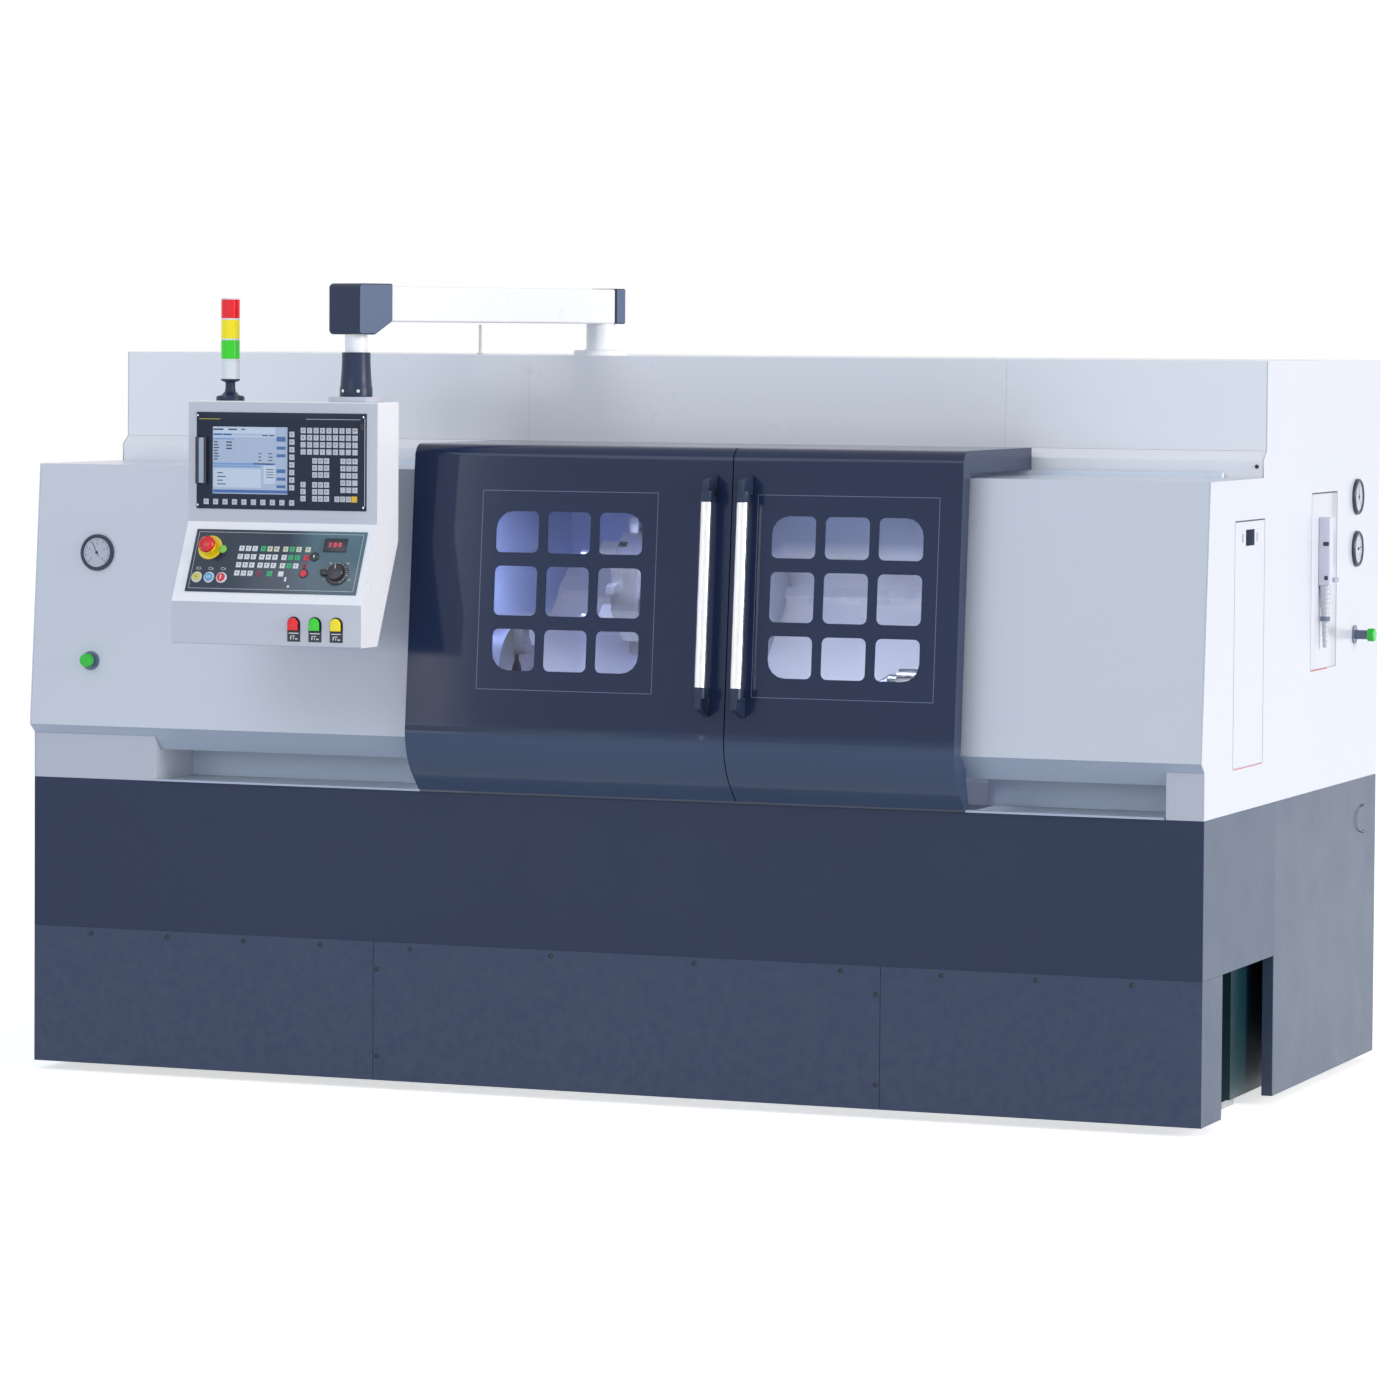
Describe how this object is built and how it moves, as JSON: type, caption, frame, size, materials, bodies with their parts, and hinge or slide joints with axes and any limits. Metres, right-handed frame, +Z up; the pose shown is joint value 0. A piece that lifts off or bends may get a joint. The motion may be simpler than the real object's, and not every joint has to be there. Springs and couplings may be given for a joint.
{
  "type": "cnc turning lathe",
  "caption": "Slant-bed turning lathe in a sheet-metal enclosure with two sliding window doors, a tool turret, a tailstock and a control console on a swinging boom.",
  "frame": {"origin": "on the floor, at the centre of the four outer anchor holes of the levelling feet", "axes": "+X to the right along the spindle axis, seen from the operator; +Y to the back; +Z up"},
  "size_m": [3.41, 2.1568, 2.171],
  "materials": {
    "cover_dark": "satin",
    "cover_pale": "satin",
    "chamber_sheet": "satin",
    "casting_teal": "satin",
    "machine_iron": "satin",
    "ground_steel": "ground",
    "chuck_steel": "turned",
    "zinc_steel": "zinc plated",
    "grab_tube": "anodised",
    "glazing": "clear",
    "boom_white": "powder coated",
    "boom_dark": "powder coated",
    "console_pale": "satin",
    "bezel_grey": "moulded",
    "screen": "glossy",
    "panel_black": "printed",
    "key_pale": "sealed film",
    "plastic_yellow": "moulded",
    "plastic_blue": "moulded",
    "plastic_red": "moulded",
    "plastic_green": "moulded",
    "plastic_black": "moulded",
    "gauge_case": "polished",
    "pump_grey": "moulded"
  },
  "bodies": {
    "machine": {"bed_casting": "casting_teal", "levelling_feet": "zinc_steel", "front_band": "cover_dark", "kick_panels": "cover_dark", "side_base_panels": "cover_dark", "rear_panels": "cover_pale", "side_walls": "cover_pale", "hood_left": "cover_pale", "hood_right": "cover_pale", "toe_blocks": "cover_pale", "roof_box_panels": "cover_pale", "door_rails": "ground_steel", "chamber_walls": "chamber_sheet", "chip_chute": "chamber_sheet", "headstock": "machine_iron", "guide_rails": "ground_steel", "gauges": "gauge_case", "regulator_stems": "plastic_black", "lubricator": "pump_grey", "boom_post": "boom_white"},
    "door_left": {"door_left": "cover_dark", "window_panel_left": "cover_dark", "window_glass_left": "glazing", "handle_left": "grab_tube"},
    "door_right": {"door_right": "cover_dark", "window_panel_right": "cover_dark", "window_glass_right": "glazing", "handle_right": "grab_tube"},
    "boom": {"boom_arm": "boom_white", "boom_ends": "boom_dark"},
    "console": {"console_box": "console_pale", "swivel_collar": "boom_dark", "display_unit": "bezel_grey", "display_screen": "screen", "machine_panel": "panel_black", "console_keys": "key_pale", "tower_light": "plastic_green"},
    "estop": {"estop_button": "plastic_red"},
    "button_yellow": {"button_yellow": "plastic_yellow"},
    "button_blue": {"button_blue": "plastic_blue"},
    "button_red": {"button_red": "plastic_red"},
    "lamp_button_red": {"lamp_button_red": "plastic_red"},
    "lamp_button_green": {"lamp_button_green": "plastic_green"},
    "lamp_button_yellow": {"lamp_button_yellow": "plastic_yellow"},
    "dial": {"override_dial": "plastic_black"},
    "spindle": {"spindle": "ground_steel", "chuck_body": "chuck_steel"},
    "jaw_1": {"jaw_1": "ground_steel"},
    "jaw_2": {"jaw_2": "ground_steel"},
    "jaw_3": {"jaw_3": "ground_steel"},
    "saddle": {"saddle": "machine_iron"},
    "cross_slide": {"cross_slide": "machine_iron"},
    "turret": {"turret_disc": "ground_steel", "turret_tools": "ground_steel"},
    "tailstock": {"tailstock": "machine_iron"},
    "quill": {"quill": "ground_steel"},
    "hatch": {"side_hatch": "cover_pale"},
    "knob_left": {"regulator_knob_left": "plastic_green"},
    "knob_right": {"regulator_knob_right": "plastic_green"}
  },
  "joints": [
    {"name": "door_left_slide", "type": "slide", "parent": "machine", "child": "door_left", "axis": [-1, 0, 0], "range_m": [0, 0.78]},
    {"name": "door_right_slide", "type": "slide", "parent": "machine", "child": "door_right", "axis": [1, 0, 0], "range_m": [0, 0.52]},
    {"name": "boom_swing", "type": "hinge", "parent": "machine", "child": "boom", "pos_m": [-0.256, -0.299, 2.07], "axis": [0, 0, 1], "range_deg": [-5, 30]},
    {"name": "console_swivel", "type": "hinge", "parent": "boom", "child": "console", "pos_m": [-0.59158, -1.18241, 1.989], "axis": [0, 0, 1], "range_deg": [0, 90]},
    {"name": "estop_press", "type": "slide", "parent": "console", "child": "estop", "axis": [0, 0.9041, -0.4274], "range_m": [0, 0.005], "stiffness_N_per_m": 1500, "springref_m": -0.004},
    {"name": "button_yellow_press", "type": "slide", "parent": "console", "child": "button_yellow", "axis": [0, 0.9041, -0.4274], "range_m": [0, 0.003], "stiffness_N_per_m": 500, "springref_m": -0.003},
    {"name": "button_blue_press", "type": "slide", "parent": "console", "child": "button_blue", "axis": [0, 0.9041, -0.4274], "range_m": [0, 0.003], "stiffness_N_per_m": 500, "springref_m": -0.003},
    {"name": "button_red_press", "type": "slide", "parent": "console", "child": "button_red", "axis": [0, 0.9041, -0.4274], "range_m": [0, 0.003], "stiffness_N_per_m": 500, "springref_m": -0.003},
    {"name": "lamp_button_red_press", "type": "slide", "parent": "console", "child": "lamp_button_red", "axis": [0, 1, 0], "range_m": [0, 0.003], "stiffness_N_per_m": 500, "springref_m": -0.003},
    {"name": "lamp_button_green_press", "type": "slide", "parent": "console", "child": "lamp_button_green", "axis": [0, 1, 0], "range_m": [0, 0.003], "stiffness_N_per_m": 500, "springref_m": -0.003},
    {"name": "lamp_button_yellow_press", "type": "slide", "parent": "console", "child": "lamp_button_yellow", "axis": [0, 1, 0], "range_m": [0, 0.003], "stiffness_N_per_m": 500, "springref_m": -0.003},
    {"name": "override_turn", "type": "hinge", "parent": "console", "child": "dial", "pos_m": [-0.583, -1.31204, 1.40575], "axis": [0, -0.9041, 0.4274], "range_deg": [-150, 150]},
    {"name": "spindle_turn", "type": "hinge", "parent": "machine", "child": "spindle", "pos_m": [-1, -0.47, 1.11], "axis": [1, 0, 0], "continuous": true},
    {"name": "jaw_1_slide", "type": "slide", "parent": "spindle", "child": "jaw_1", "axis": [0, 0, 1], "range_m": [-0.0044, 0.0044]},
    {"name": "jaw_2_slide", "type": "slide", "parent": "spindle", "child": "jaw_2", "axis": [0, -0.866, -0.5], "range_m": [-0.0044, 0.0044]},
    {"name": "jaw_3_slide", "type": "slide", "parent": "spindle", "child": "jaw_3", "axis": [0, 0.866, -0.5], "range_m": [-0.0044, 0.0044]},
    {"name": "saddle_slide", "type": "slide", "parent": "machine", "child": "saddle", "axis": [1, 0, 0], "range_m": [-0.15, 0.6]},
    {"name": "cross_slide", "type": "slide", "parent": "saddle", "child": "cross_slide", "axis": [0, -0.7071, -0.7071], "range_m": [0, 0.14]},
    {"name": "turret_index", "type": "hinge", "parent": "cross_slide", "child": "turret", "pos_m": [-0.185, -0.23666, 1.34335], "axis": [-1, 0, 0], "continuous": true},
    {"name": "tailstock_slide", "type": "slide", "parent": "machine", "child": "tailstock", "axis": [1, 0, 0], "range_m": [-0.5, 0]},
    {"name": "quill_slide", "type": "slide", "parent": "tailstock", "child": "quill", "axis": [-1, 0, 0], "range_m": [0, 0.12]},
    {"name": "hatch_hinge", "type": "hinge", "parent": "machine", "child": "hatch", "pos_m": [1.675, -0.3988, 1.246], "axis": [0, 0, 1], "range_deg": [0, 110]},
    {"name": "knob_left_turn", "type": "hinge", "parent": "machine", "child": "knob_left", "pos_m": [-1.494, -0.95333, 1.137], "axis": [0, -0.9966, 0.0821], "range_deg": [-180, 180]},
    {"name": "knob_right_turn", "type": "hinge", "parent": "machine", "child": "knob_right", "pos_m": [1.675, 0.541, 1.219], "axis": [1, 0, 0], "range_deg": [-180, 180]}
  ],
  "couplings": [
    {"joint": "jaw_2_slide", "follows": "jaw_1_slide", "ratio": 1},
    {"joint": "jaw_3_slide", "follows": "jaw_1_slide", "ratio": 1}
  ]
}
